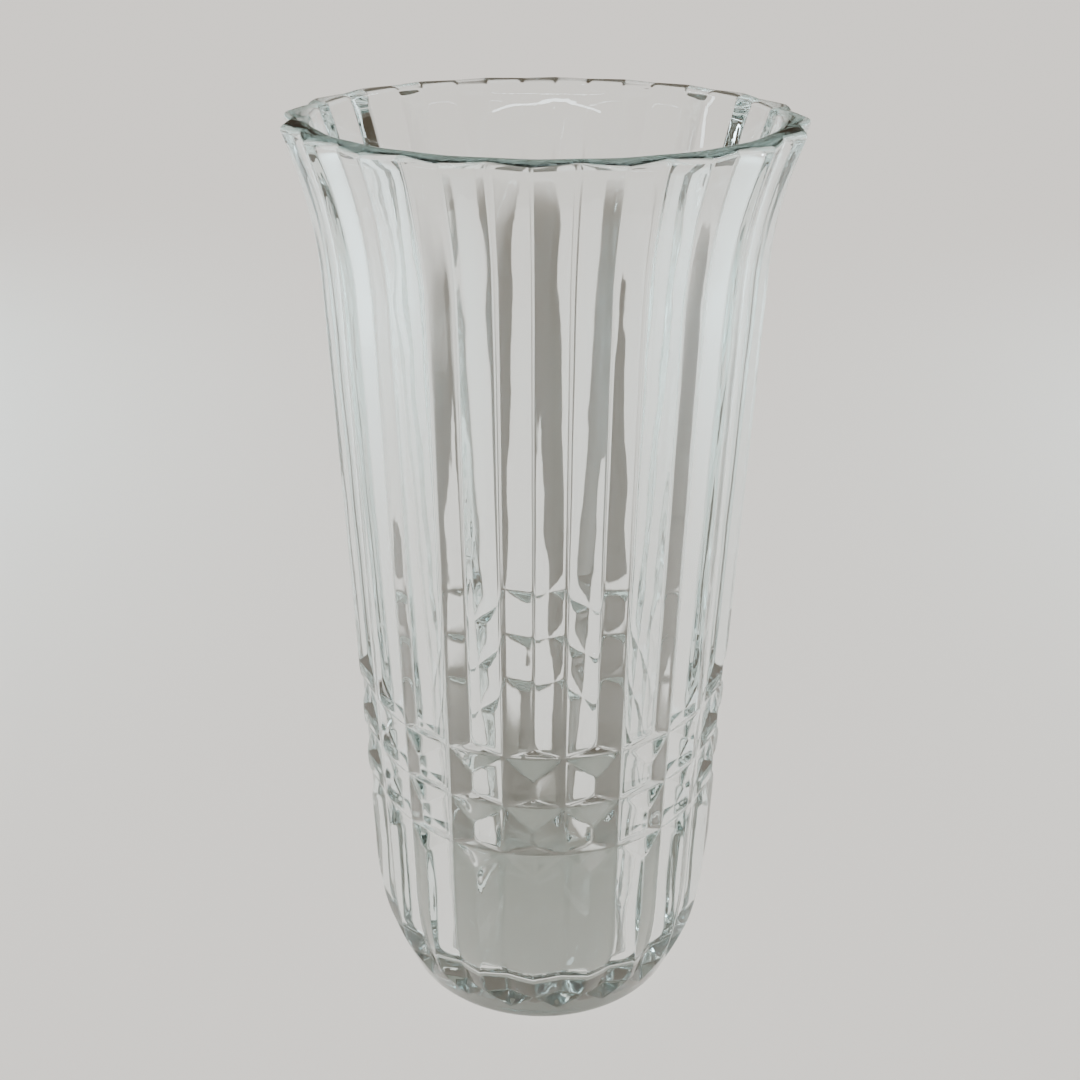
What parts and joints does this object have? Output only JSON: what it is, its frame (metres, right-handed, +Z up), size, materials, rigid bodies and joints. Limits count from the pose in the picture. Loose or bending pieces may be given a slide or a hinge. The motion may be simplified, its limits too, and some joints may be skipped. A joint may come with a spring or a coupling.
{
  "type": "cut crystal vase",
  "caption": "Tall flared vase of clear pressed glass with sharp upright ribs, a band of hip-roofed blocks low on the body, a thick bottom and a scalloped rim, for cut flowers.",
  "frame": {"origin": "centre of the foot, on the plane that the vase stands on", "axes": "+Z up along the axis of the vase, from the foot to the mouth; +X and +Y each pass through a rib crest"},
  "size_m": [0.13, 0.13, 0.25],
  "materials": {
    "clear_glass": "fire-polished, very smooth, with a faint aqua tint in the thick edges"
  },
  "bodies": {
    "root": {"vase_body": "clear_glass"}
  },
  "joints": []
}
